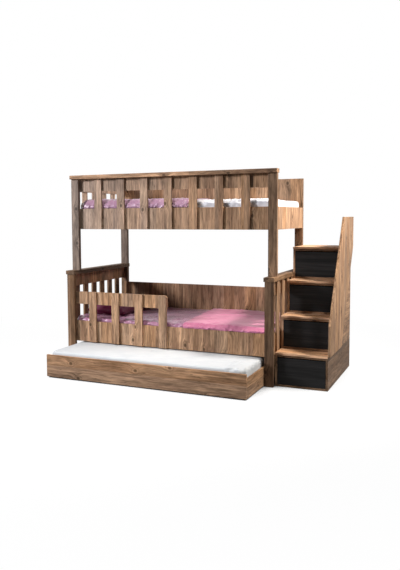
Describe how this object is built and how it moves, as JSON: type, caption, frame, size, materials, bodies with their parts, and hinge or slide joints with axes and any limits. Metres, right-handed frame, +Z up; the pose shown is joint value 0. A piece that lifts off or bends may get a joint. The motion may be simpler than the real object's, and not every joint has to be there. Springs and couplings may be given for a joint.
{
  "type": "bunk bed",
  "caption": "Oak-board bunk bed with a wide lower bed, a set-back upper bed, a castor trundle bed and a drawer staircase.",
  "frame": {"origin": "bottom centre of the bounding box, on the floor, with the trundle bed pulled half out as in the picture", "axes": "+X along the bed from the head end to the stairs, +Y from the open front to the rear panels, +Z up"},
  "size_m": [2.558, 1.559, 1.864],
  "materials": {
    "oak_board": "oak-faced melamine board, satin, knotty plank grain",
    "oak_cap": "oak-faced melamine board, satin, warmer tone",
    "pine": "planed softwood and birch board, bare",
    "beech_dowel": "turned beech, bare",
    "charcoal_front": "charcoal melamine with fine linear grain, matt",
    "zinc_steel": "zinc-plated pressed steel",
    "black_nylon": "moulded nylon, matt",
    "white_sheet": "white cotton fitted sheet over a mattress",
    "mauve_sheet": "mauve satin cotton fitted sheet over a mattress",
    "lilac_blanket": "lilac satin cotton cover, creased",
    "pink_blanket": "pink satin cotton cover, creased",
    "plum_satin": "dark plum satin pillowcase"
  },
  "bodies": {
    "bed_frame": {"lower_posts": "oak_board", "end_caps": "oak_cap", "upper_posts": "oak_board", "upper_cap_rail": "oak_cap", "upper_guard_top_rail": "oak_board", "upper_front_side_board": "oak_board", "upper_guard_uprights": "oak_board", "upper_left_end_top_board": "oak_board", "upper_left_end_side_board": "oak_board", "upper_left_end_uprights": "oak_board", "upper_right_end_board": "oak_board", "upper_rear_panel": "oak_board", "lower_rear_panel": "oak_board", "lower_end_top_rails": "oak_board", "lower_end_bottom_rails": "oak_board", "lower_end_slats": "oak_board", "lower_side_rail": "oak_board", "lower_guard_rail": "oak_board", "lower_guard_uprights": "oak_board", "lower_bed_ledgers": "pine", "upper_bed_ledgers": "pine", "centre_bearers": "pine", "lower_bed_slats": "pine", "upper_bed_slats": "pine", "post_dowels": "beech_dowel", "stair_bolts": "zinc_steel", "stair_left_sides": "oak_board", "stair_right_sides": "oak_board", "stair_decks": "oak_board", "stair_backs": "oak_board", "stair_treads": "oak_board", "stair_handrail": "oak_board", "drawer_runners": "pine", "lower_mattress": "mauve_sheet", "upper_mattress": "white_sheet", "lower_pillow": "plum_satin", "lower_blanket": "pink_blanket", "upper_blanket": "lilac_blanket"},
    "trundle": {"trundle_front": "oak_board", "trundle_sides": "oak_board", "trundle_back": "oak_board", "trundle_base": "pine", "castor_brackets": "zinc_steel", "castor_axles": "zinc_steel", "trundle_mattress": "white_sheet"},
    "wheel_front_left": {"castor_wheel_front_left": "black_nylon"},
    "wheel_front_right": {"castor_wheel_front_right": "black_nylon"},
    "wheel_rear_left": {"castor_wheel_rear_left": "black_nylon"},
    "wheel_rear_right": {"castor_wheel_rear_right": "black_nylon"},
    "drawer_1": {"drawer_1_front": "charcoal_front", "drawer_1_box": "pine"},
    "drawer_2": {"drawer_2_front": "charcoal_front", "drawer_2_box": "pine"},
    "drawer_3": {"drawer_3_front": "charcoal_front", "drawer_3_box": "pine"},
    "drawer_4": {"drawer_4_front": "charcoal_front", "drawer_4_box": "pine"}
  },
  "joints": [
    {"name": "trundle_slide", "type": "slide", "parent": "bed_frame", "child": "trundle", "axis": [0, -1, 0], "range_m": [-0.465, 0.43]},
    {"name": "wheel_front_left_spin", "type": "hinge", "parent": "trundle", "child": "wheel_front_left", "pos_m": [-1.082, -0.6715, 0.025], "axis": [1, 0, 0], "continuous": true},
    {"name": "wheel_front_right_spin", "type": "hinge", "parent": "trundle", "child": "wheel_front_right", "pos_m": [0.62, -0.6715, 0.025], "axis": [1, 0, 0], "continuous": true},
    {"name": "wheel_rear_left_spin", "type": "hinge", "parent": "trundle", "child": "wheel_rear_left", "pos_m": [-1.082, 0.0525, 0.025], "axis": [1, 0, 0], "continuous": true},
    {"name": "wheel_rear_right_spin", "type": "hinge", "parent": "trundle", "child": "wheel_rear_right", "pos_m": [0.62, 0.0525, 0.025], "axis": [1, 0, 0], "continuous": true},
    {"name": "drawer_1_slide", "type": "slide", "parent": "bed_frame", "child": "drawer_1", "axis": [0, -1, 0], "range_m": [0, 0.375]},
    {"name": "drawer_2_slide", "type": "slide", "parent": "bed_frame", "child": "drawer_2", "axis": [0, -1, 0], "range_m": [0, 0.375]},
    {"name": "drawer_3_slide", "type": "slide", "parent": "bed_frame", "child": "drawer_3", "axis": [0, -1, 0], "range_m": [0, 0.375]},
    {"name": "drawer_4_slide", "type": "slide", "parent": "bed_frame", "child": "drawer_4", "axis": [0, -1, 0], "range_m": [0, 0.27]}
  ],
  "couplings": [
    {"joint": "wheel_front_left_spin", "follows": "trundle_slide", "rad_per_m": 40},
    {"joint": "wheel_front_right_spin", "follows": "trundle_slide", "rad_per_m": 40},
    {"joint": "wheel_rear_left_spin", "follows": "trundle_slide", "rad_per_m": 40},
    {"joint": "wheel_rear_right_spin", "follows": "trundle_slide", "rad_per_m": 40}
  ]
}
